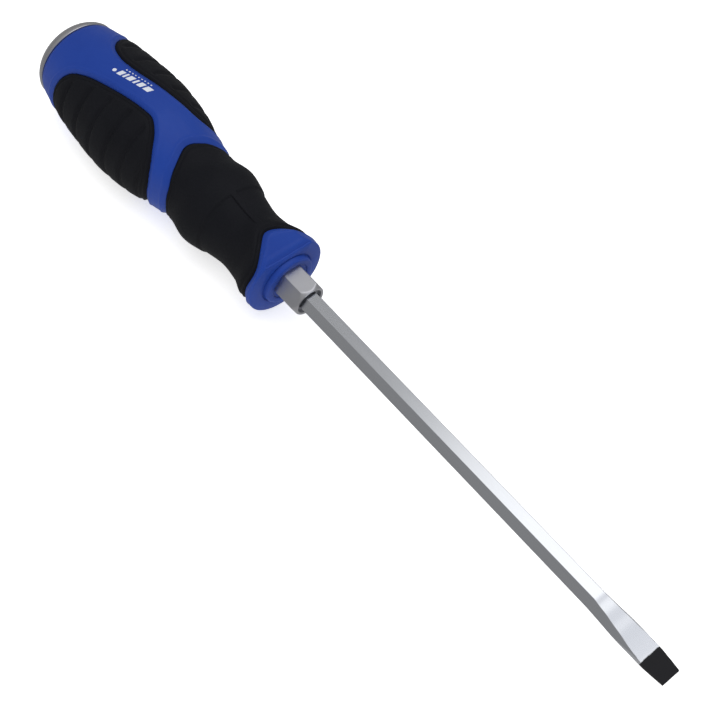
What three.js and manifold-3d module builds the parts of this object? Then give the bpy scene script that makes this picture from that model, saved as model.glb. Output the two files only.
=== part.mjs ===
// A go-through slotted screwdriver: one hexagonal steel bar runs from the blackened tip,
// through a steel bolster and the whole handle, to a strike cap that takes hammer blows.
// Millimetres. The origin is the middle of the blade's end face, +X points out of the tip,
// the handle lies towards -X and +Z is up. An angle round the tool is counted from +Z
// towards +Y, in degrees. Neighbouring pieces keep GAP between them.
import * as THREE from 'three';
import { mergeVertices } from 'three/addons/utils/BufferGeometryUtils.js';
import Module from 'manifold-3d';

const wasm = await Module();
wasm.setup();

const GAP = 0.3;
// How far forms that are joined overlap, and how far a cutting form runs past a surface.
const OVERLAP = 0.1;
const PAST = 1;

// Facets: how many steps each kind of surface is made of.
const ROUND_STEPS = 40;
const SHELL_STEPS = 26;
const SLEEVE_STEPS = 12;
const PAD_ROUND_STEPS = 20;
const PAD_STEPS = 9;
const CORE_STEPS = 12;
const CORE_ROUND_STEPS = 24;
const FACE_STEPS = 4;

// Blade: hexagonal bar, flared and ground to a slotted tip, with a riveted rear end.
const BAR_FLATS = 6;
const TIP_REAR = -31;
const TIP_WIDTH = [
  [TIP_REAR, 5.6], [-24, 5.6], [-19, 7.0], [-15.8, 7.4], [-12.9, 7.5], [-10, 7.2], [-7, 7.15],
  [-4.1, 6.75], [0, 6.0],
];
const TIP_THICKNESS = [
  [TIP_REAR, 7.1], [-28, 6.15], [-26, 5.9], [-24.6, 5.55], [-21.7, 5.1], [-18.7, 4.3],
  [-15.8, 3.7], [-12.9, 2.8], [-9.9, 2.05], [-7, 1.5], [0, 1.0],
];
const TIP_ROUND = [[TIP_REAR, 2.9], [-24, 2.9], [-19, 3.55], [-15, 3.9], [0, 3.9]];
const HEXAGON_END = -8.2;
const BAR_REAR = -248.5;
const SPIGOT_RADIUS = 2.6;
const RIVET_RADIUS = 4;
const RIVET_CROWN_RADIUS = 3;
const RIVET_HEIGHT = 1;
const RIVET_CROWN = 0.2;
const RIVET_SLOPE = 0.5;
const WING_SPAN = 9.4;
const WING_THICKNESS = 1.8;
const WING_LENGTH = 12;
const WING_PLACES = [-182, -224];

// Bolster: a hexagonal steel collar for a spanner, half sunk in the handle. Its rear, from
// the shoulder on, is a little smaller.
const BOLSTER_FLATS = 10;
const BOLSTER_SUNK_FLATS = 9.7;
const BOLSTER_FRONT = -140.1;
const BOLSTER_SHOULDER = -148.4;
const BOLSTER_REAR = -158;
const BOLSTER_CHAMFER = 1.4;
const BOLSTER_RIM_RADIUS = 4.85;
const BOLSTER_MOUTH_RADIUS = 3.85;
const BOLSTER_MOUTH_DEPTH = 1.8;

// Handle: radius along the tool, as [x, radius].
const HANDLE_REAR = -250.3;
const HANDLE_RIM = -151.6;
const HANDLE_FACE = -148.9;
const HANDLE_PROFILE = [
  [HANDLE_REAR, 13.8], [-248.8, 14.15], [-243, 15.4], [-234, 16.65], [-219.5, 17.6],
  [-209, 16.65], [-198, 14.05], [-189, 12.6], [-182, 13.75], [-174.5, 12.25], [-166.5, 11.0],
  [-160.5, 11.6], [-155.5, 12.75], [HANDLE_RIM, 13.0],
];
const FACE_PROFILE = [[HANDLE_RIM, 13.0], [-151.1, 12.5], [-150.2, 8.9], [HANDLE_FACE, 8.2]];
const COLLAR_FLAT = 11.3;
const COLLAR_REAR = -164;
const FACE_RECESS_RADIUS = 6.5;
const FACE_RECESS_DEPTH = 0.8;
const FACE_GROOVE_RADIUS = 8.4;
const FACE_GROOVE_WIDTH = 0.5;
const FACE_GROOVE_FLOOR = -150.7;

// Rubber: edges as [angle, x]. They look the same after half a turn.
const SLEEVE_REAR_EDGE = [
  [-66, -191.4], [-48, -192.7], [-37, -193.6], [-25, -194.6], [-15, -195.7], [-5, -196.5],
  [3, -196.4], [12, -195.7], [28, -194.6], [38, -193.6], [58, -192.2], [88, -190.9],
  [114, -191.4],
];
const SLEEVE_FRONT_EDGE = [
  [-61, -152.9], [-50, -153.2], [-41, -154.3], [-29, -156.3], [-17, -158.7], [-10, -160.0],
  [-2, -160.6], [8, -160.2], [20, -159.0], [31, -157.8], [42, -156.2], [60, -154.6],
  [84, -153.9], [100, -153.5], [119, -152.9],
];
const PAD_START = 6.8;
const PAD_END = 166.8;
const PAD_FRONT_EDGE = [
  [PAD_START, -229.9], [8.4, -225.6], [11.9, -220.9], [18.3, -215.1], [25.1, -209.7],
  [32, -205.2], [42, -202.2], [57, -200], [75, -198.5], [98, -198], [126, -199.6],
  [141.5, -201.8], [153.5, -203.9], [161.1, -206], [PAD_END, -208.2],
];
const PAD_REAR_EDGE = [
  [PAD_START, -231.9], [10.6, -235.7], [16.6, -238], [26.4, -240], [42, -241.6], [67, -242.6],
  [98, -242.7], [120, -241.6], [128.5, -240.4], [135.5, -239.1], [142.3, -236.1],
  [148.5, -232.3], [155.7, -225.1], [161.3, -218.4], [164.8, -213.5], [PAD_END, -210.2],
];
const RUBBER_DEPTH = 2;
const CUT_HEIGHT = 3;
const PAD_HEIGHT = 0.2;
const PAD_INNER_RADIUS = 13.5;
const RIDGE_HALF_ANGLE = 4;
const SCOOP_REAR = -175.8;
const SCOOP_STEP = 1;
const SCOOP_DEPTH = 0.5;
const SCOOP_FADE = 7;

// Strike cap: a steel dome on the rear of the handle, as [x, radius] of its outside.
const CAP_FACE = -256.1;
const CAP_PROFILE = [
  [CAP_FACE, 7.0], [-255.3, 9.6], [-254.2, 11.5], [-253, 12.7], [-252, 13.35],
  [HANDLE_REAR - GAP, 13.6],
];
const CAP_SPIGOT_RADIUS = 10.2;
const CAP_SPIGOT_END = -247.2;

// Core: the hard plastic that is moulded on the bar first, as [x, radius].
const CORE_PROFILE = [
  [CAP_SPIGOT_END + GAP, 10.2], [-240, 11.2], [-228, 11.2], [-210, 9.8], [-198, 8.2],
  [-186, 7.2], [-175, 7.2], [-168, 6.7], [BOLSTER_REAR - GAP, 6.7],
];

const radians = THREE.MathUtils.degToRad;

function material(colour, roughness, metalness) {
  return new THREE.MeshStandardMaterial({ color: colour, roughness, metalness });
}

const steel = () => material(0xc9ccd2, 0.25, 1);
const satinSteel = () => material(0xa9abae, 0.4, 1);
const bluePlastic = () => material(0x2a45a8, 0.35, 0);
const blackRubber = () => material(0x1b1b1f, 0.75, 0);
const corePlastic = () => material(0x2b2d33, 0.5, 0);

// A smooth curve through points [a, b], with no overshoot between them.
function smoothThrough(points) {
  const slopes = points.map((point, i) => {
    if (i === 0 || i === points.length - 1) {
      return 0;
    }
    const [before, after] = [points[i - 1], points[i + 1]];
    const left = (point[1] - before[1]) / (point[0] - before[0]);
    const right = (after[1] - point[1]) / (after[0] - point[0]);
    return left * right <= 0 ? 0 : (2 * left * right) / (left + right);
  });
  return (a) => {
    const last = points.length - 2;
    const found = points.findIndex((point, i) => i > 0 && a <= point[0]) - 1;
    const i = a <= points[0][0] ? 0 : found < 0 ? last : found;
    const [a0, b0] = points[i];
    const [a1, b1] = points[i + 1];
    const span = a1 - a0;
    const t = THREE.MathUtils.clamp((a - a0) / span, 0, 1);
    const rise = b0 + (b1 - b0) * t * t * (3 - 2 * t);
    return rise + span * t * (1 - t) * (slopes[i] * (1 - t) - slopes[i + 1] * t);
  };
}

// The same curve repeated every half turn.
function smoothHalfTurns(points) {
  const curve = smoothThrough(points);
  const start = points[0][0];
  return (angle) => curve(start + THREE.MathUtils.euclideanModulo(angle - start, 180));
}

const handleRadius = smoothThrough(HANDLE_PROFILE);
const faceRadius = smoothThrough(FACE_PROFILE);
const coreRadius = smoothThrough(CORE_PROFILE);
const sleeveRear = smoothHalfTurns(SLEEVE_REAR_EDGE);
const sleeveFront = smoothHalfTurns(SLEEVE_FRONT_EDGE);
const padFront = smoothThrough(PAD_FRONT_EDGE);
const padRear = smoothThrough(PAD_REAR_EDGE);

// Degrees between an angle and the nearer of the two ridges, which lie at 0 and at 180.
function fromRidge(angle) {
  const turned = THREE.MathUtils.euclideanModulo(angle + 90, 180) - 90;
  return Math.abs(turned);
}

// The outside of the handle, with the flat that the collar has on top.
function outsideRadius(x, angle) {
  const round = x > HANDLE_RIM ? faceRadius(x) : handleRadius(x);
  const onTop = Math.cos(radians(angle));
  return x > COLLAR_REAR && onTop > 0 ? Math.min(round, COLLAR_FLAT / onTop) : round;
}

// How deep the sleeve's scooped panels lie below the ridges between them.
function scoopDepth(x, angle) {
  if (x <= SCOOP_REAR || fromRidge(angle) <= RIDGE_HALF_ANGLE) {
    return 0;
  }
  const rise = Math.min((x - SCOOP_REAR) / SCOOP_STEP, 1);
  const fade = THREE.MathUtils.smoothstep(sleeveFront(angle) - x, 0, SCOOP_FADE);
  return SCOOP_DEPTH * rise * fade;
}

function spread(from, to, steps) {
  return Array.from({ length: steps + 1 }, (_, i) => from + ((to - from) * i) / steps);
}

function around(x, radius, angle) {
  return [x, radius * Math.sin(radians(angle)), radius * Math.cos(radians(angle))];
}

// A solid wrapped round the tool. Each angle has one loop of points, which runs along the
// outside from rear to front and back along the inside; the loops join into a ring, or
// into a patch that is closed at its first and last loop.
function wrappedSolid({ angles, ring, stations, outer, inner }) {
  const positions = [];
  const length = 2 * stations(angles[0]).length;
  for (const angle of angles) {
    const along = stations(angle);
    const outside = along.map((x) => around(x, outer(x, angle), angle));
    const inside = along.map((x) => around(x, inner(x, angle), angle)).reverse();
    positions.push(...outside.flat(), ...inside.flat());
  }
  const indices = [];
  const joins = ring ? angles.length : angles.length - 1;
  for (let i = 0; i < joins; i += 1) {
    const here = i * length;
    const there = ((i + 1) % angles.length) * length;
    for (let k = 0; k < length; k += 1) {
      const next = (k + 1) % length;
      indices.push(here + k, here + next, there + next);
      indices.push(here + k, there + next, there + k);
    }
  }
  const end = (angles.length - 1) * length;
  const endFaces = ring ? 0 : length / 2 - 1;
  for (let k = 0; k < endFaces; k += 1) {
    const under = length - 1 - k;
    indices.push(k, under, under - 1, k, under - 1, k + 1);
    indices.push(end + k, end + under - 1, end + under, end + k, end + k + 1, end + under - 1);
  }
  const geometry = new THREE.BufferGeometry();
  geometry.setAttribute('position', new THREE.Float32BufferAttribute(positions, 3));
  geometry.setIndex(indices);
  return geometry;
}

// A turned piece about the tool's axis: what lies under a profile of [x, radius].
function turned(profile, segments = ROUND_STEPS) {
  const [rear] = profile[0];
  const [front] = profile[profile.length - 1];
  const outline = [[rear, 0], ...profile, [front, 0]];
  const points = outline.map(([x, radius]) => new THREE.Vector2(radius, x));
  return new THREE.LatheGeometry(points, segments).rotateZ(-Math.PI / 2);
}

function rod(rear, front, radius) {
  return solid(turned([[rear, radius], [front, radius]]));
}

// A hexagonal bar along the axis, with flats that face up and down.
function hexBar(flats, from, to) {
  const corner = flats / Math.sqrt(3);
  const shape = new THREE.Shape();
  for (let i = 0; i < 6; i += 1) {
    const angle = radians(30 + 60 * i);
    const move = i === 0 ? 'moveTo' : 'lineTo';
    shape[move](corner * Math.cos(angle), corner * Math.sin(angle));
  }
  shape.closePath();
  const bar = new THREE.ExtrudeGeometry(shape, { depth: to - from, bevelEnabled: false });
  return bar.rotateY(Math.PI / 2).translate(from, 0, 0);
}

// A slab along the axis, as thick in Y as the profile [x, thickness] says.
function slab(profile, height) {
  const upper = profile.map(([x, thickness]) => new THREE.Vector2(x, thickness / 2));
  const lower = profile.map(([x, thickness]) => new THREE.Vector2(x, -thickness / 2)).reverse();
  const shape = new THREE.Shape([...upper, ...lower]);
  const plate = new THREE.ExtrudeGeometry(shape, { depth: height, bevelEnabled: false });
  return plate.translate(0, 0, -height / 2);
}

function solid(geometry) {
  const bare = geometry.clone();
  bare.deleteAttribute('normal');
  bare.deleteAttribute('uv');
  const merged = mergeVertices(bare, 1e-4);
  const vertProperties = new Float32Array(merged.attributes.position.array);
  const triVerts = new Uint32Array(merged.index.array);
  return new wasm.Manifold(new wasm.Mesh({ numProp: 3, vertProperties, triVerts }));
}

function piece(name, form, finish) {
  const mesh = form.getMesh();
  const geometry = new THREE.BufferGeometry();
  geometry.setAttribute('position', new THREE.BufferAttribute(mesh.vertProperties, 3));
  geometry.setIndex(new THREE.BufferAttribute(mesh.triVerts, 1));
  const result = new THREE.Mesh(geometry, finish);
  result.name = name;
  return result;
}

// Two pairs of wings are pressed out of the bar inside the handle, so it can't turn or pull
// out. They point up and down, and clearance widens them for the hole in the core.
function wings(clearance) {
  return WING_PLACES.map((x) => solid(
    new THREE.BoxGeometry(
      WING_LENGTH + 2 * clearance,
      WING_THICKNESS + 2 * clearance,
      WING_SPAN + 2 * clearance,
    ).translate(x, 0, 0),
  ));
}

function blade() {
  const acrossTip = slab(TIP_WIDTH, BAR_FLATS * 2);
  const throughTip = slab(TIP_THICKNESS, BAR_FLATS * 2).rotateX(Math.PI / 2);
  const flare = solid(acrossTip).intersect(solid(turned(TIP_ROUND)));
  const tip = solid(hexBar(BAR_FLATS, TIP_REAR, HEXAGON_END)).add(flare);
  const crown = CAP_FACE - RIVET_CROWN;
  const headFloor = CAP_FACE + RIVET_HEIGHT;
  const rivet = solid(turned([
    [crown, RIVET_CROWN_RADIUS], [crown + RIVET_SLOPE, RIVET_RADIUS], [headFloor, RIVET_RADIUS],
  ]));
  const pieces = [
    tip.intersect(solid(throughTip)),
    rivet,
    rod(headFloor - OVERLAP, BAR_REAR + OVERLAP, SPIGOT_RADIUS),
    ...wings(0),
  ];
  const bar = solid(hexBar(BAR_FLATS, BAR_REAR, TIP_REAR + OVERLAP));
  return piece('blade', pieces.reduce((sum, part) => sum.add(part), bar), steel());
}

function bolster() {
  const corner = BOLSTER_FLATS / Math.sqrt(3);
  const front = solid(hexBar(BOLSTER_FLATS, BOLSTER_SHOULDER, BOLSTER_FRONT));
  const sunk = solid(hexBar(BOLSTER_SUNK_FLATS, BOLSTER_REAR, BOLSTER_SHOULDER + OVERLAP));
  const chamfered = solid(turned([
    [BOLSTER_REAR, corner], [BOLSTER_FRONT - BOLSTER_CHAMFER, corner],
    [BOLSTER_FRONT, BOLSTER_RIM_RADIUS],
  ]));
  const mouth = rod(BOLSTER_FRONT - BOLSTER_MOUTH_DEPTH, BOLSTER_FRONT + PAST, BOLSTER_MOUTH_RADIUS);
  const hole = solid(hexBar(BAR_FLATS + 2 * GAP, BOLSTER_REAR - PAST, BOLSTER_FRONT + PAST));
  const body = front.add(sunk).intersect(chamfered);
  return piece('bolster', body.subtract(mouth).subtract(hole), satinSteel());
}

function coreForm(clearance) {
  const [rear] = CORE_PROFILE[0];
  const [front] = CORE_PROFILE[CORE_PROFILE.length - 1];
  const outline = spread(rear, front, CORE_STEPS).map((x) => [x, coreRadius(x) + clearance]);
  outline[0][0] -= clearance;
  outline[CORE_STEPS][0] += clearance;
  return solid(turned(outline, CORE_ROUND_STEPS));
}

function innerCore() {
  const hole = wings(GAP).reduce(
    (sum, wing) => sum.add(wing),
    solid(hexBar(BAR_FLATS + 2 * GAP, HANDLE_REAR, HANDLE_FACE)),
  );
  return piece('inner_core', coreForm(0).subtract(hole), corePlastic());
}

// Angles for the whole ring, with extra ones where the ridges start and end.
const ridgeEdges = [0, 180].flatMap((ridge) => [
  ridge - RIDGE_HALF_ANGLE - 1, ridge - RIDGE_HALF_ANGLE,
  ridge + RIDGE_HALF_ANGLE, ridge + RIDGE_HALF_ANGLE + 1,
]);
const ringAngles = [...spread(360 / ROUND_STEPS - 180, 180, ROUND_STEPS - 1), ...ridgeEdges]
  .sort((a, b) => a - b);

// The sleeve, or with a clearance the recess that it lies in.
function sleeveForm(clearance, below, above) {
  const stations = (angle) => spread(
    sleeveRear(angle) - clearance, sleeveFront(angle) + clearance, SLEEVE_STEPS,
  );
  return solid(wrappedSolid({
    angles: ringAngles,
    ring: true,
    stations,
    outer: (x, angle) => outsideRadius(x, angle) + above(x, angle),
    inner: (x, angle) => outsideRadius(x, angle) - below,
  }));
}

// A pad, or with a clearance the pocket that it lies in. Its outline runs nearly along the
// tool at both ends, so the angles are closest together there.
function padForm(turn, clearance, below, above) {
  const sideways = THREE.MathUtils.radToDeg(clearance / PAD_INNER_RADIUS);
  const middle = (PAD_START + PAD_END) / 2;
  const half = (PAD_END - PAD_START) / 2 + sideways;
  const angles = spread(0, Math.PI, PAD_ROUND_STEPS).map((step) => middle - half * Math.cos(step));
  const within = (angle) => THREE.MathUtils.clamp(angle, PAD_START, PAD_END);
  const near = (angle) => [angle - sideways, angle, angle + sideways].map(within);
  return solid(wrappedSolid({
    angles: angles.map((angle) => angle + turn),
    ring: false,
    stations: (angle) => spread(
      Math.min(...near(angle - turn).map(padRear)) - clearance,
      Math.max(...near(angle - turn).map(padFront)) + clearance,
      PAD_STEPS,
    ),
    outer: (x) => handleRadius(x) + above,
    inner: (x) => handleRadius(x) - below,
  }));
}

function handleShell() {
  const stations = [
    ...spread(HANDLE_REAR, HANDLE_RIM, SHELL_STEPS),
    ...spread(HANDLE_RIM, HANDLE_FACE, FACE_STEPS).slice(1),
  ];
  const body = solid(wrappedSolid({
    angles: ringAngles,
    ring: true,
    stations: () => stations,
    outer: outsideRadius,
    inner: () => BOLSTER_FLATS / 2,
  }));
  const recess = rod(HANDLE_FACE - FACE_RECESS_DEPTH, HANDLE_FACE + PAST, FACE_RECESS_RADIUS);
  const groove = rod(FACE_GROOVE_FLOOR, HANDLE_FACE, FACE_GROOVE_RADIUS + FACE_GROOVE_WIDTH)
    .subtract(rod(FACE_GROOVE_FLOOR - PAST, HANDLE_FACE + PAST, FACE_GROOVE_RADIUS));
  const capSocket = rod(HANDLE_REAR - PAST, CAP_SPIGOT_END + GAP, CAP_SPIGOT_RADIUS + GAP);
  const cuts = [
    recess, groove, capSocket, coreForm(GAP),
    solid(hexBar(BOLSTER_FLATS + 2 * GAP, BOLSTER_REAR - GAP, HANDLE_FACE + PAST)),
    sleeveForm(GAP, RUBBER_DEPTH + GAP, () => CUT_HEIGHT),
    padForm(0, GAP, RUBBER_DEPTH + GAP, CUT_HEIGHT),
    padForm(180, GAP, RUBBER_DEPTH + GAP, CUT_HEIGHT),
  ];
  const form = cuts.reduce((rest, cut) => rest.subtract(cut), body);
  return piece('handle_shell', form, bluePlastic());
}

function strikeCap() {
  const headFloor = CAP_FACE + RIVET_HEIGHT + GAP;
  const holes = [
    rod(CAP_FACE - PAST, headFloor, RIVET_RADIUS + GAP),
    rod(headFloor - OVERLAP, BAR_REAR, SPIGOT_RADIUS + GAP),
    solid(hexBar(BAR_FLATS + 2 * GAP, BAR_REAR - GAP, CAP_SPIGOT_END + PAST)),
  ];
  const dome = solid(turned(CAP_PROFILE));
  const spigot = rod(HANDLE_REAR - PAST, CAP_SPIGOT_END, CAP_SPIGOT_RADIUS);
  const form = holes.reduce((rest, hole) => rest.subtract(hole), dome.add(spigot));
  return piece('strike_cap', form, satinSteel());
}

const screwdriver = new THREE.Group();
screwdriver.add(
  blade(),
  bolster(),
  innerCore(),
  handleShell(),
  piece('front_sleeve', sleeveForm(0, RUBBER_DEPTH, (x, angle) => -scoopDepth(x, angle)), blackRubber()),
  piece('grip_pad_right', padForm(0, 0, RUBBER_DEPTH, PAD_HEIGHT), blackRubber()),
  piece('grip_pad_left', padForm(180, 0, RUBBER_DEPTH, PAD_HEIGHT), blackRubber()),
  strikeCap(),
);

export default screwdriver;
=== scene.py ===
"""A go-through slotted screwdriver: hexagonal blade, two-colour handle and steel strike cap.

Every piece is made here in millimetres and turned into metres when its mesh is made. The
origin is the middle of the blade's end face, +X points out of the tip and +Z is up. An
angle round the tool is counted from +Z towards +Y, in degrees.
"""

import bpy
import numpy as np
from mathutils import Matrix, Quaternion, Vector


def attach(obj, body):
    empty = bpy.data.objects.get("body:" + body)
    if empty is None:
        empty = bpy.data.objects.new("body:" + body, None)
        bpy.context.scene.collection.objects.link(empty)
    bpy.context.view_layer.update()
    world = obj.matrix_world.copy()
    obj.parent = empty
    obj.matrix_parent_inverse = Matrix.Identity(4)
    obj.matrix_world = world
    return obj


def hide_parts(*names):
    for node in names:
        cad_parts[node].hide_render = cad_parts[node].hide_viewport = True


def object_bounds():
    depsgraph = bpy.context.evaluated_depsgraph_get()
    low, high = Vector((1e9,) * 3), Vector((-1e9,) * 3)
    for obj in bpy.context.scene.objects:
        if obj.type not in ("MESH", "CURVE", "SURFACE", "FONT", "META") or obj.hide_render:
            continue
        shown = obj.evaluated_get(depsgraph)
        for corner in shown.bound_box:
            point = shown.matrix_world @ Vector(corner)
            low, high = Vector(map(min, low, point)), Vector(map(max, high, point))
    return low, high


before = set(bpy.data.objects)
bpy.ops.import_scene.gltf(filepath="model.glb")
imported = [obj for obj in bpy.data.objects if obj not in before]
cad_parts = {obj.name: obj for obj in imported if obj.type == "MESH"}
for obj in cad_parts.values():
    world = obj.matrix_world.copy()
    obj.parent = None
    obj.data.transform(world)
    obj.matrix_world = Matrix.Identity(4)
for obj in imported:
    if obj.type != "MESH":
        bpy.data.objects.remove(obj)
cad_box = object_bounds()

MM = 0.001

# ---------------------------------------------------------------- sizes

BAR_FLATS = 6
TIP_REAR = -31
TIP_WIDTH = [
    (TIP_REAR, 8.4), (-18, 8.2), (-15.8, 7.9), (-12.9, 7.55), (-10, 7.2), (-7, 7.15), (-4.1, 6.75),
    (0, 6.0),
]
TIP_THICKNESS = [
    (TIP_REAR, 6.6), (-28, 6.15), (-26, 5.9), (-24.6, 5.55), (-21.7, 5.1), (-18.7, 4.3),
    (-15.8, 3.7), (-12.9, 2.8), (-9.9, 2.05), (-7, 1.5), (0, 1.0),
]
TIP_STRETCH = [
    (TIP_REAR, 1.0), (-27, 1.0), (-24.6, 1.03), (-21.7, 1.07), (-18.7, 1.12), (-15.8, 1.16),
    (-12.9, 1.18), (0, 1.18),
]
BLACK_LENGTH = 7.6
BAR_REAR = -248.5
SPIGOT_RADIUS = 2.6
RIVET_RADIUS = 4
RIVET_CROWN_RADIUS = 3
RIVET_REAR = -256.3
WING_SPAN = 9.4
WING_THICKNESS = 1.8
WING_LENGTH = 12
WING_PLACES = (-182, -224)

BOLSTER_FLATS = 10
BOLSTER_FRONT = -140.1
BOLSTER_REAR = -158
BOLSTER_RIM_RADIUS = 4.85
BOLSTER_CHAMFER = 1.4
BOLSTER_MOUTH_RADIUS = 4.15
BOLSTER_MOUTH_DEPTH = 1.8

HANDLE_REAR = -250.3
HANDLE_RIM = -151.6
HANDLE_PROFILE = [
    (HANDLE_REAR, 13.8), (-248.8, 14.15), (-243, 15.4), (-234, 16.65), (-219.5, 17.6),
    (-209, 16.65), (-198, 14.05), (-189, 12.6), (-182, 13.75), (-174.5, 12.25), (-166.5, 11.0),
    (-160.5, 11.6), (-155.5, 12.75), (HANDLE_RIM, 13.0),
]
COLLAR_FRONT = -151.2
COLLAR_REAR = -164
COLLAR_FLAT = 11.3
# Where the front of the collar's flat dips: (start, depth, power).
COLLAR_DIPS = [(-153, 0.3, 1.5), (-152.1, 1.0, 1.2)]
COLLAR_DIP_LENGTH = 0.9
FLAT_LEAST_COSINE = 0.3
FLAT_FADE = 12
FLAT_ROUNDNESS = 0.22
BEYOND_THE_FLAT = 40
# How far the plastic and the sleeve lie inside the handle's profile.
SKIN = 0.08
# The collar's front: (x, share of the way out from the groove), then (x, radius) further in.
GROOVE_OUTSIDE = 8.9
COLLAR_ROUND = [(-151.05, 0.995), (-150.9, 0.98), (-150.78, 0.95), (-150.7, 0.9), (-150.45, 0.5)]
COLLAR_FACE = [
    (-150.25, 9.0), (-150.3, 8.85), (-150.5, 8.7), (-150.6, 8.55), (-150.5, 8.42),
    (-150.2, 8.36), (-149.3, 8.25), (-149.0, 8.1), (-148.8, 7.85), (-148.72, 7.5),
    (-148.72, 6.45), (-148.76, 6.3), (-148.85, 6.2), (-149.05, 6.15),
]
SOCKET_FRONT = -149.08

SLEEVE_REAR_EDGE = [
    (-66, -191.4), (-48, -192.7), (-37, -193.6), (-25, -194.6), (-15, -195.7), (-5, -196.5),
    (3, -196.4), (12, -195.7), (28, -194.6), (38, -193.6), (58, -192.2), (88, -190.9),
    (114, -191.4),
]
SLEEVE_FRONT_EDGE = [
    (-61, -152.9), (-50, -153.2), (-41, -154.3), (-29, -156.3), (-17, -158.7), (-10, -160.0),
    (-2, -160.6), (8, -160.2), (20, -159.0), (31, -157.8), (42, -156.2), (60, -154.6),
    (84, -153.9), (100, -153.5), (119, -152.9),
]
PAD_START = 6.8
PAD_END = 166.8
PAD_FRONT_EDGE = [
    (PAD_START, -229.9), (8.4, -225.6), (11.9, -220.9), (18.3, -215.1), (25.1, -209.7),
    (32, -205.2), (42, -202.2), (57, -200), (75, -198.5), (98, -198), (126, -199.6),
    (141.5, -201.8), (153.5, -203.9), (161.1, -206), (PAD_END, -208.2),
]
PAD_REAR_EDGE = [
    (PAD_START, -231.9), (10.6, -235.7), (16.6, -238), (26.4, -240), (42, -241.6), (67, -242.6),
    (98, -242.7), (120, -241.6), (128.5, -240.4), (135.5, -239.1), (142.3, -236.1),
    (148.5, -232.3), (155.7, -225.1), (161.3, -218.4), (164.8, -213.5), (PAD_END, -210.2),
]
PAD_CENTRE = (-221.5, 88)
RIB_GROOVES = (-240.9, -236.3, -228.8, -221.6, -214.4, -207.7, -201.3)
RIB_GROOVE_WIDTH = 0.8
RIB_GROOVE_DEPTH = 0.62
RUBBER_DEPTH = 2
SCOOP_REAR = -175.8
SCOOP_DEPTH = 0.5
SCOOP_RIB_ANGLE = -1

CAP_FACE = -256.1
CAP_PROFILE = [
    (CAP_FACE, 7.0), (-255.3, 9.6), (-254.2, 11.5), (-253, 12.7), (-252, 13.35),
    (-250.6, 13.6),
]
CAP_SPIGOT_RADIUS = 10.2
CAP_SPIGOT_END = -247.2
CAP_RECESS = [
    (CAP_FACE + 1.3, 2.8), (CAP_FACE + 1.3, 4.15), (CAP_FACE + 0.25, 4.2),
    (CAP_FACE + 0.05, 4.35), (CAP_FACE, 4.55), (CAP_FACE, 6.4),
]
CAP_RIM_AND_SPIGOT = [
    (-251.5, 13.62), (-250.8, 13.64), (-250.62, 13.58), (-250.5, 13.42), (-250.42, 13.1),
    (-250.42, CAP_SPIGOT_RADIUS), (CAP_SPIGOT_END, CAP_SPIGOT_RADIUS), (CAP_SPIGOT_END, 3.7),
    (BAR_REAR - 0.2, 3.7), (BAR_REAR - 0.2, 2.8),
]
BORE = [
    (-158.3, 7.0), (-168, 7.0), (-175, 7.5), (-186, 7.5), (-198, 8.5), (-210, 10.1), (-228, 11.5),
    (-240, 11.5), (-246.8, 10.5), (HANDLE_REAR, 10.5),
]

# The printed mark: its corner as (x, angle), then places and sizes along and across it.
MARK_START = (-229.0, -12.3)
MARK_DOT = (0.6, 0.9, 0.6)
MARK_BARS = [(1.8, 1.5), (3.9, 0.7), (5.2, 1.7), (7.6, 0.7), (9.0, 1.5), (11.2, 1.9)]
MARK_BAR_LEAN = 0.35
MARK_SMALL_DOTS = 9

# Points round each form, and loops along it.
BLADE_POINTS = 360
BOLSTER_POINTS = 300
HANDLE_POINTS = 480
SLEEVE_POINTS = 540
CAP_POINTS = 160
LOOPS_BEHIND_SLEEVE = 210
LOOPS_UNDER_SLEEVE = 30
LOOPS_AHEAD_OF_SLEEVE = 40
SLEEVE_LOOPS = 200
PAD_RINGS = 130

# Points along the pad's outline as it is worked out, and places measured from it at a time.
OUTLINE_SAMPLES = 600
OUTLINE_FINE_POINTS = 1200
OUTLINE_POINTS = 600
PLACES_AT_A_TIME = 4000

# How sharp the corners are between two faces that meet.
BAR_SHARPNESS = 160
TIP_EDGE_SHARPNESS = 80
WING_SHARPNESS = 12
BOLSTER_SHARPNESS = 110
CHAMFER_SHARPNESS = 140
BAR_HOLE_SHARPNESS = 60
SOCKET_SHARPNESS = 36

# How many times each edge of the rubber is averaged with its neighbours.
SLEEVE_EDGE_SMOOTHING = 130
PAD_OUTLINE_SMOOTHING = 190

# The camera was fitted to the photo's ellipses.
CAMERA_PLACE = (0.025237, -0.182428, 0.340009)
CAMERA_TARGET = (-0.116981, -0.000998, -0.000495)
CAMERA_ROLL = 13.262
FLOOR_REACH = 30000
FLOOR_POINTS = 9

# ---------------------------------------------------------------- curves


def smooth_through(points, end_slope=0.0):
    """A smooth curve through points (a, b), with no overshoot between them. Its slope at both
    ends is end_slope times that of the first or last stretch."""
    a, b = np.array(points, float).T
    slope = np.diff(b) / np.diff(a)
    left, right = slope[:-1], slope[1:]
    same = left * right > 0
    inner = np.where(same, 2 * left * right / np.where(same, left + right, 1), 0)
    slopes = np.concatenate([[end_slope * slope[0]], inner, [end_slope * slope[-1]]])

    def curve(x):
        x = np.clip(x, a[0], a[-1])
        i = np.clip(np.searchsorted(a, x) - 1, 0, len(a) - 2)
        span = a[i + 1] - a[i]
        t = (x - a[i]) / span
        rise = b[i] + (b[i + 1] - b[i]) * t * t * (3 - 2 * t)
        return rise + span * t * (1 - t) * (slopes[i] * (1 - t) - slopes[i + 1] * t)

    return curve


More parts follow.
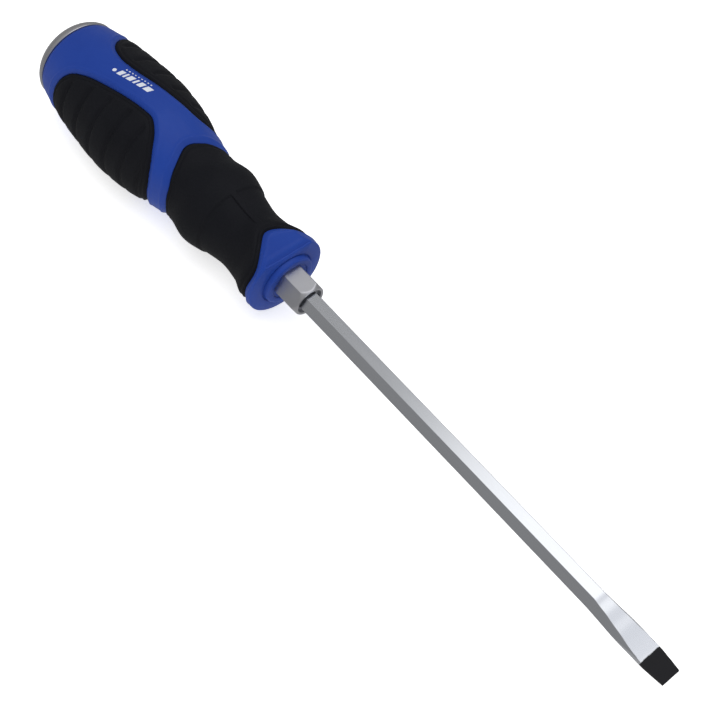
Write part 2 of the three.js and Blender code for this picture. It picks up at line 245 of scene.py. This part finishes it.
def smooth_half_turns(points):
    """The same curve repeated every half turn, with its bends rounded."""
    curve = smooth_through(points)
    start = points[0][0]
    angle = np.arange(start, start + 180, 0.5)
    values = curve(angle)
    for _ in range(SLEEVE_EDGE_SMOOTHING):
        values = (np.roll(values, 1) + 2 * values + np.roll(values, -1)) / 4
    angle, values = np.append(angle, start + 180), np.append(values, values[0])
    return lambda at: np.interp(start + (at - start) % 180, angle, values)


def step(x, start, end):
    """0 before start, 1 after end, and smooth between them."""
    t = np.clip((x - start) / (end - start), 0, 1)
    return t * t * (3 - 2 * t)


def bump(x, middle, width):
    return np.exp(-(((x - middle) / width) ** 2))


def least(a, b, roundness):
    """The lesser of a and b, with the corner between them rounded."""
    share = np.clip(0.5 + 0.5 * (b - a) / roundness, 0, 1)
    return b * (1 - share) + a * share - roundness * share * (1 - share)


handle_radius = smooth_through(HANDLE_PROFILE)
sleeve_rear = smooth_half_turns(SLEEVE_REAR_EDGE)
sleeve_front = smooth_half_turns(SLEEVE_FRONT_EDGE)


def outside_radius(x, angle):
    """The handle's outside, with the flat on top of the collar, which dips at its front."""
    on_top = np.cos(np.radians(angle))
    flat = COLLAR_FLAT
    for start, depth, power in COLLAR_DIPS:
        flat = flat - depth * np.clip((x - start) / COLLAR_DIP_LENGTH, 0, 1) ** power
    facing_up = on_top > FLAT_LEAST_COSINE
    flat = np.where(facing_up, flat / np.maximum(on_top, FLAT_LEAST_COSINE), BEYOND_THE_FLAT)
    flat = flat + FLAT_FADE * step(COLLAR_REAR - x, -1, 1)
    return least(handle_radius(x), flat, FLAT_ROUNDNESS)


# ---------------------------------------------------------------- meshes


def around(x, radius, angle):
    """Points at a place along the tool, a radius and an angle, as arrays that broadcast."""
    x, radius, angle = np.broadcast_arrays(x, radius, np.radians(angle))
    return np.stack([x, radius * np.sin(angle), radius * np.cos(angle)], -1)


def faces_between(loops, points, ring):
    """Quads that join neighbouring loops, and each loop's last point to its first."""
    here = np.arange(loops if ring else loops - 1)[:, None] * points
    there = (here + points) % (loops * points)
    k = np.arange(points)[None, :]
    after = (k + 1) % points
    return np.stack([here + k, here + after, there + after, there + k], -1).reshape(-1, 4)


def mesh_object(name, points, faces, finish, crease=38):
    """One object from points in millimetres and faces of four, where a face that repeats its
    last point is a triangle. The faces are turned so that they point out."""
    corners = points[faces]
    flux = np.cross(corners[:, 2] - corners[:, 0], corners[:, 3] - corners[:, 1])
    volume = np.einsum("ij,ij->", flux, corners.mean(1))
    if volume < 0:
        faces = faces[:, ::-1]
    lists = [list(dict.fromkeys(face)) for face in faces.tolist()]
    mesh = bpy.data.meshes.new(name)
    mesh.from_pydata((points * MM).tolist(), [], lists)
    mesh.polygons.foreach_set("use_smooth", np.ones(len(mesh.polygons), bool))
    mesh.set_sharp_from_angle(angle=np.radians(crease))
    mesh.update()
    made = bpy.data.objects.new(name, mesh)
    bpy.context.scene.collection.objects.link(made)
    made.data.materials.append(finish)
    return made


def loft(name, loops, finish, ring=False, crease=38):
    """A closed form from an array of closed loops. Either the last loop joins the first, or
    both end loops are closed by a fan."""
    points, faces = closed_form(np.asarray(loops, float), ring)
    return mesh_object(name, points, faces, finish, crease)


def closed_form(loops, ring):
    """The points and faces of a closed form from an array of closed loops."""
    count, size = loops.shape[:2]
    points = loops.reshape(-1, 3)
    faces = faces_between(count, size, ring)
    if not ring:
        ends = np.stack([loops[0].mean(0), loops[-1].mean(0)])
        k = np.arange(size)
        after = (k + 1) % size
        first, last = len(points), len(points) + 1
        base = (count - 1) * size
        fans = [
            np.stack([after, k, np.full(size, first), np.full(size, first)], -1),
            np.stack([base + k, base + after, np.full(size, last), np.full(size, last)], -1),
        ]
        points = np.concatenate([points, ends])
        faces = np.concatenate([faces, *fans])
    return points, faces


def turns(count):
    return np.arange(count) * 360 / count


def circle(count, radius):
    return np.full(count, float(radius))


def shares(count):
    """Shares from 0 to 1 in a column, one for each loop."""
    return np.linspace(0, 1, count)[:, None]


def hexagon(angle, flats, sharpness):
    """The radius of a hexagon with flats above and below; a high sharpness gives it sharp
    corners."""
    total = sum(
        np.maximum(np.cos(np.radians(angle - side)), 0.001) ** sharpness
        for side in range(0, 360, 60)
    )
    return flats / 2 * total ** (-1 / sharpness)


def within(a, b, sharpness):
    """The lesser of two radii, with the corner between them rounded."""
    return (a ** -float(sharpness) + b ** -float(sharpness)) ** (-1 / sharpness)


# ---------------------------------------------------------------- materials


def new_material(name, **settings):
    """A material whose Principled shader has these settings, and its node tree."""
    material = bpy.data.materials.new(name)
    material.use_nodes = True
    shader = material.node_tree.nodes["Principled BSDF"]
    for socket, value in settings.items():
        shader.inputs[socket.replace("_", " ")].default_value = value
    return material, material.node_tree, shader


def add(tree, kind, inputs=None, **settings):
    made = tree.nodes.new("ShaderNode" + kind)
    for key, value in settings.items():
        setattr(made, key, value)
    for socket, value in (inputs or {}).items():
        if isinstance(value, bpy.types.NodeSocket):
            tree.links.new(value, made.inputs[socket])
        else:
            made.inputs[socket].default_value = value
    return made


def place(tree, stretch=(1, 1, 1)):
    """The place on the object in metres, stretched along each axis."""
    coordinate = add(tree, "TexCoord").outputs["Object"]
    return add(tree, "Mapping", {"Vector": coordinate, "Scale": stretch}).outputs["Vector"]


def noise(tree, scale, stretch=(1, 1, 1), detail=3, roughness=0.55):
    inputs = {
        "Vector": place(tree, stretch), "Scale": scale, "Detail": detail, "Roughness": roughness,
    }
    return add(tree, "TexNoise", inputs).outputs["Fac"]


def spread(tree, value, low, high, start=0.3, end=0.7):
    """value from start..end mapped to low..high."""
    inputs = {
        "Value": value, "From Min": start, "From Max": end, "To Min": low, "To Max": high,
    }
    return add(tree, "MapRange", inputs).outputs["Result"]


def blend_colours(tree, factor, first, second):
    mix = add(tree, "Mix", data_type="RGBA")
    sockets = mix.inputs
    for socket, value in ((sockets[0], factor), (sockets[6], first), (sockets[7], second)):
        if isinstance(value, bpy.types.NodeSocket):
            tree.links.new(value, socket)
        else:
            socket.default_value = value
    return mix.outputs[2]


def roughen(tree, shader, *layers):
    """Bumps on the surface: each layer is a height and its depth in metres."""
    normal = None
    for height, depth in layers:
        inputs = {"Height": height, "Distance": depth, "Strength": 1.0}
        if normal is not None:
            inputs["Normal"] = normal
        normal = add(tree, "Bump", inputs).outputs["Normal"]
    tree.links.new(normal, shader.inputs["Normal"])


def colour(red, green, blue):
    return (red, green, blue, 1)


def blade_finish():
    """Satin chrome with fine drawing lines along the bar; the tip is blackened."""
    material, tree, shader = new_material("satin_chrome")
    along = add(tree, "SeparateXYZ", {"Vector": place(tree)}).outputs["X"]
    edge = noise(tree, 900, detail=2)
    wobble = spread(tree, edge, -0.00012, 0.00012)
    where = add(tree, "Math", {0: along, 1: wobble}, operation="ADD").outputs[0]
    rear = -BLACK_LENGTH * MM
    black = spread(tree, where, 0, 1, rear - 0.0001, rear + 0.0001)
    cloud = noise(tree, 60, (0.3, 1, 1))
    lines = noise(tree, 9000, (0.012, 1, 1), detail=2)
    grain = noise(tree, 3500, detail=4, roughness=0.7)
    chrome = blend_colours(tree, cloud, colour(0.70, 0.72, 0.755), colour(0.755, 0.775, 0.805))
    oxide = blend_colours(tree, grain, colour(0.006, 0.006, 0.0075), colour(0.014, 0.014, 0.0165))
    tree.links.new(blend_colours(tree, black, chrome, oxide), shader.inputs["Base Color"])
    metal = spread(tree, black, 1, 0, 0, 1)
    tree.links.new(metal, shader.inputs["Metallic"])
    dull = spread(tree, black, 0.5, 0.2, 0, 1)
    tree.links.new(dull, shader.inputs["Specular IOR Level"])
    satin = spread(tree, lines, 0.15, 0.19)
    matt = spread(tree, grain, 0.42, 0.58)
    rough = add(tree, "Mix", {0: black, 2: satin, 3: matt}).outputs[0]
    tree.links.new(rough, shader.inputs["Roughness"])
    roughen(tree, shader, (lines, 0.0000003), (grain, 0.0000006))
    return material


def bolster_finish():
    """Zinc-grey steel, a little dull and speckled."""
    material, tree, shader = new_material("zinc_steel", Metallic=1.0)
    speckle = noise(tree, 1800, detail=4, roughness=0.7)
    cloud = noise(tree, 220)
    shade = blend_colours(tree, cloud, colour(0.62, 0.625, 0.655), colour(0.72, 0.725, 0.75))
    tree.links.new(shade, shader.inputs["Base Color"])
    tree.links.new(spread(tree, speckle, 0.32, 0.46), shader.inputs["Roughness"])
    roughen(tree, shader, (speckle, 0.000004), (noise(tree, 5000, (0.05, 1, 1)), 0.000002))
    return material


def cap_finish():
    """Pressed steel with turning marks that run round the tool, and light wear."""
    material, tree, shader = new_material("pressed_steel", Metallic=1.0)
    split = add(tree, "SeparateXYZ", {"Vector": place(tree)})
    y, z = split.outputs["Y"], split.outputs["Z"]
    square = [add(tree, "Math", {0: v, 1: v}, operation="MULTIPLY").outputs[0] for v in (y, z)]
    total = add(tree, "Math", {0: square[0], 1: square[1]}, operation="ADD").outputs[0]
    radius = add(tree, "Math", {0: total}, operation="SQRT").outputs[0]
    ring = add(tree, "CombineXYZ", {"X": split.outputs["X"], "Y": radius}).outputs["Vector"]
    inputs = {"Vector": ring, "Scale": 7000, "Detail": 2}
    marks = add(tree, "TexNoise", inputs).outputs["Fac"]
    cloud = noise(tree, 150)
    shade = blend_colours(tree, cloud, colour(0.55, 0.55, 0.57), colour(0.66, 0.66, 0.67))
    tree.links.new(shade, shader.inputs["Base Color"])
    tree.links.new(spread(tree, marks, 0.24, 0.38), shader.inputs["Roughness"])
    roughen(tree, shader, (marks, 0.000004), (noise(tree, 1500, detail=4), 0.000003))
    return material


def blue_finish():
    """Satin blue plastic with a fine moulded texture and faint scuffs."""
    material, tree, shader = new_material("blue_plastic", Specular_IOR_Level=0.22)
    cloud = noise(tree, 90)
    grain = noise(tree, 2600, detail=3)
    scuffs = noise(tree, 500, (0.25, 1, 1), detail=6, roughness=0.75)
    shade = blend_colours(tree, cloud, colour(0.0115, 0.044, 0.285), colour(0.016, 0.058, 0.335))
    tree.links.new(shade, shader.inputs["Base Color"])
    tree.links.new(spread(tree, scuffs, 0.34, 0.47), shader.inputs["Roughness"])
    roughen(tree, shader, (grain, 0.000012), (scuffs, 0.000006))
    return material


def rubber_finish():
    """Matt black rubber with a soft grain, greyed a little where it is handled."""
    material, tree, shader = new_material("black_rubber", Specular_IOR_Level=0.16)
    cloud = noise(tree, 120, detail=4)
    grain = noise(tree, 3000, detail=4, roughness=0.65)
    dark, light = colour(0.0048, 0.0052, 0.0074), colour(0.0082, 0.0088, 0.0118)
    shade = blend_colours(tree, cloud, dark, light)
    tree.links.new(shade, shader.inputs["Base Color"])
    tree.links.new(spread(tree, grain, 0.55, 0.72), shader.inputs["Roughness"])
    roughen(tree, shader, (grain, 0.00002), (noise(tree, 700), 0.00003))
    return material


def ink_finish():
    """White ink, printed a little thin in places."""
    material, tree, shader = new_material("white_ink", Roughness=0.5)
    thin = noise(tree, 2500, detail=3)
    shade = blend_colours(tree, thin, colour(0.62, 0.66, 0.78), colour(0.86, 0.87, 0.90))
    tree.links.new(shade, shader.inputs["Base Color"])
    roughen(tree, shader, (thin, 0.000008))
    return material


def core_finish():
    """Hard dark plastic with faint flow marks."""
    material, tree, shader = new_material("core_plastic")
    flow = noise(tree, 200, (0.3, 1, 1))
    shade = blend_colours(tree, flow, colour(0.025, 0.025, 0.03), colour(0.035, 0.035, 0.04))
    tree.links.new(shade, shader.inputs["Base Color"])
    tree.links.new(spread(tree, flow, 0.4, 0.55), shader.inputs["Roughness"])
    return material


def floor_finish():
    """White paper that gives off some light of its own, so that it stays nearly white."""
    material, tree, shader = new_material("pale_floor", Roughness=0.8, Specular_IOR_Level=0.1)
    paper = noise(tree, 40)
    shade = blend_colours(tree, paper, colour(0.90, 0.90, 0.90), colour(0.92, 0.92, 0.92))
    tree.links.new(shade, shader.inputs["Base Color"])
    tree.links.new(shade, shader.inputs["Emission Color"])
    shader.inputs["Emission Strength"].default_value = 0.7
    return material


blue = blue_finish()
rubber = rubber_finish()

# ---------------------------------------------------------------- blade


def blade():
    """The bar from its slotted tip to the riveted rear end, as one form."""
    angle = turns(BLADE_POINTS)
    width = smooth_through(TIP_WIDTH, 1)
    thickness = smooth_through(TIP_THICKNESS, 1)
    stretch = smooth_through(TIP_STRETCH)
    bar = hexagon(angle, BAR_FLATS, BAR_SHARPNESS)
    up, aside = np.cos(np.radians(angle)), np.sin(np.radians(angle))
    upright, sideways = np.maximum(np.abs(up), 0.001), np.maximum(np.abs(aside), 0.001)

    def tip(x):
        """The hexagon spread sideways, between the two tapering faces and the two edges."""
        side = aside / stretch(x)
        body = hexagon(np.degrees(np.arctan2(side, up)), BAR_FLATS, BAR_SHARPNESS)
        body = within(body / np.hypot(up, side), thickness(x) / 2 / upright, BAR_SHARPNESS)
        return within(body, width(x) / 2 / sideways, TIP_EDGE_SHARPNESS)

    def wing(height):
        """The bar with a thin wing pressed out above and below it."""
        thin = within(WING_THICKNESS / 2 / sideways, height / 2 / upright, WING_SHARPNESS)
        return np.maximum(bar, thin)

    rows = [(0, tip(0) - 0.1), (-0.1, tip(-0.1))]
    rows += [(x, tip(x)) for x in np.arange(-0.5, TIP_REAR, -0.4)]
    rows += [(x, bar) for x in np.linspace(TIP_REAR, -175, 36)]
    for middle in WING_PLACES:
        half = WING_LENGTH / 2
        for x in np.linspace(middle + half, middle - half, 15):
            swell = np.sqrt(max(1 - ((x - middle) / half) ** 2, 0))
            rows.append((x, wing(BAR_FLATS + (WING_SPAN - BAR_FLATS) * swell)))
    spigot = circle(BLADE_POINTS, SPIGOT_RADIUS)
    rows += [(BAR_REAR + 0.6, bar), (BAR_REAR, bar - 0.3), (BAR_REAR, spigot)]
    head = RIVET_REAR + 1.2
    rows += [(head, spigot), (head, circle(BLADE_POINTS, RIVET_RADIUS - 0.15))]
    rows += [(head - 0.15, circle(BLADE_POINTS, RIVET_RADIUS))]
    for share in np.linspace(0, 1, 9):
        bend = share * np.pi / 2
        crown = RIVET_CROWN_RADIUS + (RIVET_RADIUS - RIVET_CROWN_RADIUS) * np.cos(bend)
        rows.append((RIVET_REAR + 0.7 - 0.6 * np.sin(bend), circle(BLADE_POINTS, crown)))
    rows.append((RIVET_REAR + 0.02, circle(BLADE_POINTS, RIVET_CROWN_RADIUS * 0.6)))
    loops = [around(x, radius, angle) for x, radius in rows]
    return loft("slotted_blade", loops, blade_finish(), crease=28)


# ---------------------------------------------------------------- bolster


def bolster():
    """The hexagonal collar, with a chamfered front, a recessed mouth and a hole for the bar."""
    angle = turns(BOLSTER_POINTS)
    outside = hexagon(angle, BOLSTER_FLATS, BOLSTER_SHARPNESS)
    slope = (BOLSTER_FLATS / np.sqrt(3) - BOLSTER_RIM_RADIUS) / BOLSTER_CHAMFER
    rows = []
    for back in (2.0, 1.6, 1.3, 1.0, 0.7, 0.4, 0.15, 0.0):
        cone = BOLSTER_RIM_RADIUS + slope * back
        rows.append((BOLSTER_FRONT - back, within(outside, cone, CHAMFER_SHARPNESS)))
    rim = rows[-1][1]
    mouth = circle(BOLSTER_POINTS, BOLSTER_MOUTH_RADIUS)
    rows += [
        (BOLSTER_FRONT, rim - 0.1), (BOLSTER_FRONT, mouth + 0.2),
        (BOLSTER_FRONT - 0.05, mouth + 0.08), (BOLSTER_FRONT - 0.2, mouth),
        (BOLSTER_FRONT - BOLSTER_MOUTH_DEPTH + 0.2, mouth - 0.05),
        (BOLSTER_FRONT - BOLSTER_MOUTH_DEPTH, mouth - 0.2),
    ]
    hole = hexagon(angle, BAR_FLATS + 0.12, BAR_HOLE_SHARPNESS)
    rows += [(BOLSTER_FRONT - BOLSTER_MOUTH_DEPTH - 0.1, hole), (BOLSTER_REAR, hole)]
    rows += [(BOLSTER_REAR, outside - 0.4), (BOLSTER_REAR + 0.4, outside)]
    loops = [around(x, radius, angle) for x, radius in rows]
    return loft("hex_bolster", loops, bolster_finish(), ring=True, crease=25)


# ---------------------------------------------------------------- outlines


def pad_outline(count):
    """The pad's edge as a closed line of (x, angle), evenly spaced, with rounded corners."""
    front, rear = smooth_through(PAD_FRONT_EDGE), smooth_through(PAD_REAR_EDGE)
    middle, half = (PAD_START + PAD_END) / 2, (PAD_END - PAD_START) / 2
    angle = middle - half * np.cos(np.linspace(0, np.pi, OUTLINE_SAMPLES))
    line = np.concatenate([
        np.stack([front(angle), angle], -1), np.stack([rear(angle), angle], -1)[::-1],
    ])
    line = np.vstack([line, line[:1]])
    scale = np.radians(handle_radius(line[:, 0]))
    steps = np.hypot(np.diff(line[:, 0]), np.diff(line[:, 1]) * scale[1:])
    length = np.concatenate([[0], np.cumsum(steps)])
    fine = np.linspace(0, length[-1], OUTLINE_FINE_POINTS, endpoint=False)
    line = np.stack([np.interp(fine, length, line[:, i]) for i in (0, 1)], -1)
    for _ in range(PAD_OUTLINE_SMOOTHING):
        line = (np.roll(line, 1, 0) + 2 * line + np.roll(line, -1, 0)) / 4
    return line[:: OUTLINE_FINE_POINTS // count]


def distance_to_line(x, angle, line):
    """How far each place on the handle is from a closed line of (x, angle): negative for
    places inside it."""
    flat_x, flat_angle = np.ravel(x), np.ravel(angle)
    scale = np.radians(handle_radius(flat_x))
    ahead = np.roll(line, -1, 0)
    result = np.empty(len(flat_x))
    for start in range(0, len(flat_x), PLACES_AT_A_TIME):
        part = slice(start, start + PLACES_AT_A_TIME)
        px, pa, k = flat_x[part, None], flat_angle[part, None], scale[part, None]
        ax, ay = line[None, :, 0] - px, (line[None, :, 1] - pa) * k
        bx, by = ahead[None, :, 0] - line[None, :, 0], (ahead[None, :, 1] - line[None, :, 1]) * k
        t = np.clip(-(ax * bx + ay * by) / (bx * bx + by * by), 0, 1)
        away = np.sqrt(((ax + t * bx) ** 2 + (ay + t * by) ** 2).min(1))
        level = np.where(np.abs(by) < 1e-9, 1e-9, by)
        crossed = ((ay > 0) != (ay + by > 0)) & (ax - ay * bx / level > 0)
        result[part] = np.where(crossed.sum(1) % 2, -away, away)
    return result.reshape(np.shape(x))


def sleeve_slope(edge, angle):
    """The cosine of the angle at which the sleeve's edge crosses the tool's direction."""
    rise = (edge(angle + 0.5) - edge(angle - 0.5)) / np.radians(handle_radius(edge(angle)))
    return 1 / np.sqrt(1 + rise * rise)


# ---------------------------------------------------------------- handle


def lip(distance):
    """The blue plastic's height beside the rubber: a bevel that falls to the joint from a
    rounded crest."""
    bevel = -0.7 * (1 - np.clip(distance / 1.45, 0, 1)) ** 1.25
    return bevel + 0.13 * bump(distance, 1.65, 0.4)


def rubber_edge(distance):
    """The rubber's height beside the blue plastic: a rounded rim, a shallow groove and the
    raised field inside it."""
    rim = -0.95 + 0.8 * step(distance, -0.1, 0.8)
    groove = -0.16 * bump(distance, 1.45, 0.3)
    return rim + groove + 0.2 * step(distance, 1.4, 2.4)


def face_rows(outline):
    """The handle's front, from the collar's rim in to the bolster, as (x, radius)."""
    out = outline - GROOVE_OUTSIDE
    return [(x, GROOVE_OUTSIDE + out * share) for x, share in COLLAR_ROUND] + COLLAR_FACE


def handle_shell():
    """The blue plastic: pockets for the pads and the sleeve, a collar with a flat on top, and
    a bore for the core."""
    angle = turns(HANDLE_POINTS)
    rear, front = sleeve_rear(angle), sleeve_front(angle)
    behind = shares(LOOPS_BEHIND_SLEEVE)
    rows_behind = HANDLE_REAR + (rear - HANDLE_REAR) * behind
    rows_ahead = front + (COLLAR_FRONT - front) * shares(LOOPS_AHEAD_OF_SLEEVE)
    line = pad_outline(OUTLINE_POINTS)
    half = slice(0, HANDLE_POINTS // 2)
    from_pad = np.min([
        distance_to_line(rows_behind[:, half], angle[half] + turn + 0 * behind, line)
        for turn in (-180, 0, 180)
    ], axis=0)
    from_pad = np.concatenate([from_pad, from_pad], 1)
    from_sleeve = (rear - rows_behind) * sleeve_slope(sleeve_rear, angle)
    height = lip(np.minimum(np.maximum(from_pad, 0), from_sleeve))
    height = height - (RUBBER_DEPTH - 0.2) * step(-from_pad, 0, 0.3)
    height[:3] -= np.array([0.35, 0.12, 0.03])[:, None]
    radius_behind = outside_radius(rows_behind, angle) - SKIN + height
    from_front = (rows_ahead - front) * sleeve_slope(sleeve_front, angle)
    radius_ahead = outside_radius(rows_ahead, angle) - SKIN + lip(from_front)
    rows_under = rear + 0.15 + (front - rear - 0.3) * shares(LOOPS_UNDER_SLEEVE)
    radius_under = outside_radius(rows_under, angle) - RUBBER_DEPTH - 0.15
    loops = [around(rows_behind, radius_behind, angle), around(rows_under, radius_under, angle)]
    loops.append(around(rows_ahead, radius_ahead, angle))
    face = [around(x, radius, angle) for x, radius in face_rows(radius_ahead[-1])]
    hole = hexagon(angle, BOLSTER_FLATS + 0.1, SOCKET_SHARPNESS)
    face += [around(SOCKET_FRONT, hole, angle), around(BOLSTER_REAR - 0.1, hole, angle)]
    face += [around(x, radius, angle) for x, radius in BORE]
    loops.append(np.array(face))
    return loft("handle_body", np.concatenate(loops), blue, ring=True)


def front_sleeve():
    """The rubber round the handle's waist, with scooped panels beside a rib on each side."""
    angle = turns(SLEEVE_POINTS)
    rear, front = sleeve_rear(angle), sleeve_front(angle)
    share = shares(SLEEVE_LOOPS)
    share = share - 0.35 * (share - (1 - np.cos(np.pi * share)) / 2)
    x = rear + (front - rear) * share
    from_rear = (x - rear) * sleeve_slope(sleeve_rear, angle)
    from_front = (front - x) * sleeve_slope(sleeve_front, angle)
    edge = np.minimum(from_rear, from_front)
    away = np.abs((angle + 90 - SCOOP_RIB_ANGLE) % 180 - 90)
    scoop = step(x, SCOOP_REAR - 0.1, SCOOP_REAR + 0.9) * step(away + 0 * x, 3.4, 4.8)
    scoop = scoop * step(edge, 2.0, 6.5)
    outer = outside_radius(x, angle) - SKIN + rubber_edge(edge) - SCOOP_DEPTH * scoop
    inner = outside_radius(x[::-1], angle) - RUBBER_DEPTH
    loops = np.concatenate([around(x, outer, angle), around(x[::-1][::8], inner[::8], angle)])
    return loft("waist_sleeve", loops, rubber, ring=True)


def grip_pad(name, turn):
    """A rubber pad with transverse ribs, as rings that shrink from its outline to its centre,
    above and below."""
    line = pad_outline(OUTLINE_POINTS)
    centre = np.array(PAD_CENTRE, float)
    share = 1 - np.linspace(0, 1, PAD_RINGS) ** 1.15
    share[-1] = 0.002
    rings = centre + share[:, None, None] * (line - centre)
    x, angle = rings[..., 0], rings[..., 1]
    edge = np.abs(distance_to_line(x, angle, line))
    grooves = np.minimum(sum(bump(x, groove, RIB_GROOVE_WIDTH) for groove in RIB_GROOVES), 1)
    height = rubber_edge(edge) - RIB_GROOVE_DEPTH * grooves * step(edge, 1.6, 3.4)
    top = around(x, handle_radius(x) + height, angle + turn)
    below = slice(None, None, -6)
    bottom = around(x[below], handle_radius(x[below]) - RUBBER_DEPTH, angle[below] + turn)
    wall = around(x[0], handle_radius(x[0]) - RUBBER_DEPTH, angle[0] + turn)[None]
    loops = np.concatenate([top[::-1], wall, bottom[::-1]])
    return loft(name, loops, rubber)


# ---------------------------------------------------------------- cap


def strike_cap():
    """A pressed steel dome with the riveted end of the bar in its middle."""
    angle = turns(CAP_POINTS)
    side = smooth_through(CAP_PROFILE)
    dome = [(x, float(side(x))) for x in np.linspace(CAP_FACE + 0.02, -252, 26)]
    rows = CAP_RECESS + dome + CAP_RIM_AND_SPIGOT
    loops = [around(x, radius, angle) for x, radius in rows]
    return loft("steel_cap", loops, cap_finish(), ring=True, crease=30)


# ---------------------------------------------------------------- print


def print_mark():
    """A plain printed mark: a dot, a row of slanted bars and a row of smaller dots."""

    def on_band(along, across):
        x = MARK_START[0] + along - 0.12 * across
        angle = MARK_START[1] + np.degrees((across + along * 0.26) / handle_radius(x))
        return x, angle

    def patch(along, across):
        """A thin solid over a closed outline on the blue band."""
        middle = np.array([along.mean(), across.mean()])
        outward = np.stack([along, across], -1) - middle
        rings = [middle + share * outward for share in (1.0, 0.66, 0.33, 0.01)]
        levels = [(ring, 0.035) for ring in rings[::-1]]
        levels += [(ring, -0.1) for ring in rings]
        loops = []
        for ring, level in levels:
            x, angle = on_band(ring[:, 0], ring[:, 1])
            loops.append(around(x, handle_radius(x) - SKIN + level, angle))
        return closed_form(np.array(loops), False)

    def disc(along, across, radius, sides=28):
        t = turns(sides)
        return along + radius * np.cos(np.radians(t)), across + radius * np.sin(np.radians(t))

    def bar(along, width, low, high):
        t = np.linspace(0, 1, 6)[:-1]
        left, right = along + MARK_BAR_LEAN * low, along + MARK_BAR_LEAN * high
        a = np.concatenate([
            left + width * t, left + width + (right - left) * t,
            right + width * (1 - t), right + (left - right) * t,
        ])
        b = np.concatenate([
            low + 0 * t, low + (high - low) * t, high + 0 * t, high - (high - low) * t,
        ])
        return a, b

    outlines = [disc(*MARK_DOT)]
    outlines += [bar(along, width, 0.1, 2.0) for along, width in MARK_BARS]
    outlines += [disc(3.2 + 1.1 * i, 2.95, 0.25, 14) for i in range(MARK_SMALL_DOTS)]
    points, faces, base = [], [], 0
    for outline in outlines:
        more, joined = patch(*outline)
        points.append(more)
        faces.append(joined + base)
        base += len(more)
    points, faces = np.concatenate(points), np.concatenate(faces)
    return mesh_object("printed_mark", points, faces, ink_finish())


# ---------------------------------------------------------------- stage


def floor():
    """A pale sheet on which the handle lies. Reflections don't show it."""
    low = cad_box[0][2] / MM
    side = np.linspace(-FLOOR_REACH, FLOOR_REACH, FLOOR_POINTS)
    x, y = np.meshgrid(side, side)
    points = np.stack([x.ravel(), y.ravel(), np.full(x.size, low)], -1)
    squares = range(FLOOR_POINTS - 1)
    faces = []
    for here in (row * FLOOR_POINTS + column for row in squares for column in squares):
        faces.append([here, here + 1, here + FLOOR_POINTS + 1, here + FLOOR_POINTS])
    mesh = bpy.data.meshes.new("floor")
    mesh.from_pydata((points * MM).tolist(), [], faces)
    made = bpy.data.objects.new("floor", mesh)
    bpy.context.scene.collection.objects.link(made)
    made.data.materials.append(floor_finish())
    made.visible_glossy = False


def camera():
    """The photo's view of the tool."""
    data = bpy.data.cameras.new("camera")
    data.lens = 75
    data.sensor_width = 36
    data.clip_end = 20
    data.shift_x, data.shift_y = -0.001, 0.0008
    made = bpy.data.objects.new("camera", data)
    made.location = Vector(CAMERA_PLACE)
    aim = (Vector(CAMERA_TARGET) - made.location).to_track_quat("-Z", "Y")
    roll = Quaternion((0, 0, 1), np.radians(CAMERA_ROLL))
    made.rotation_euler = (aim @ roll).to_euler()
    bpy.context.scene.collection.objects.link(made)
    bpy.context.scene.camera = made


def area_light(name, place_at, aim, size, power):
    """A soft light that reflections don't show."""
    data = bpy.data.lights.new(name, "AREA")
    data.shape = "RECTANGLE"
    data.size, data.size_y = size
    data.energy = power
    made = bpy.data.objects.new(name, data)
    made.location = Vector(place_at)
    made.rotation_euler = (Vector(aim) - made.location).to_track_quat("-Z", "Y").to_euler()
    made.visible_glossy = False
    bpy.context.scene.collection.objects.link(made)


def studio():
    """A grey room with one large, bright panel overhead. The panel's edges and levels were set
    so that the steel's facets match the photo from the photo's own view."""
    world = bpy.data.worlds.new("studio")
    bpy.context.scene.world = world
    world.use_nodes = True
    tree = world.node_tree
    direction = add(tree, "TexCoord").outputs["Generated"]
    split = add(tree, "SeparateXYZ", {"Vector": direction}).outputs
    room = add(tree, "ValToRGB", {"Fac": spread(tree, split["Z"], 0, 1, -1, 1)})
    stops = [(0.0, 0.40), (0.5, 0.26), (0.75, 0.33), (0.9, 0.38), (1.0, 0.42)]
    elements = room.color_ramp.elements
    while len(elements) < len(stops):
        elements.new(0.5)
    for element, (position, level) in zip(elements, stops):
        element.position = position
        element.color = colour(level, level, level * 1.01)
    panel = spread(tree, split["X"], 0, 1, -0.305, -0.235)
    for axis, dark, bright in (("Y", -0.32, 0.3), ("Z", 0.62, 0.74)):
        inside = spread(tree, split[axis], 0, 1, dark, bright)
        panel = add(tree, "Math", {0: panel, 1: inside}, operation="MULTIPLY").outputs[0]
    far_end = spread(tree, split["X"], 0, 1, -0.06, 0.1)
    lit = blend_colours(tree, far_end, colour(1.42, 1.42, 1.43), colour(0.9, 0.91, 0.95))
    light = blend_colours(tree, panel, room.outputs["Color"], lit)
    background = tree.nodes["Background"]
    tree.links.new(light, background.inputs["Color"])
    background.inputs["Strength"].default_value = 1.0
    bpy.context.scene.view_settings.view_transform = "Standard"
    area_light("overhead", (-0.1, -0.3, 1.6), (-0.12, 0, 0), (1.4, 1.4), 14)


def finish_piece(piece, slot, *nodes):
    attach(piece, "root")
    if nodes:
        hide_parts(*nodes)


camera()
studio()
floor()
finish_piece(blade(), "blade_steel", "blade")
finish_piece(bolster(), "bolster_steel", "bolster")
finish_piece(handle_shell(), "blue_plastic", "handle_shell")
finish_piece(front_sleeve(), "black_rubber", "front_sleeve")
finish_piece(grip_pad("pad_right", 0), "black_rubber", "grip_pad_right")
finish_piece(grip_pad("pad_left", 180), "black_rubber", "grip_pad_left")
finish_piece(strike_cap(), "cap_steel", "strike_cap")
finish_piece(print_mark(), "white_ink")
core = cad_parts["inner_core"]
core.data.materials.clear()
core.data.materials.append(core_finish())

bpy.context.view_layer.update()
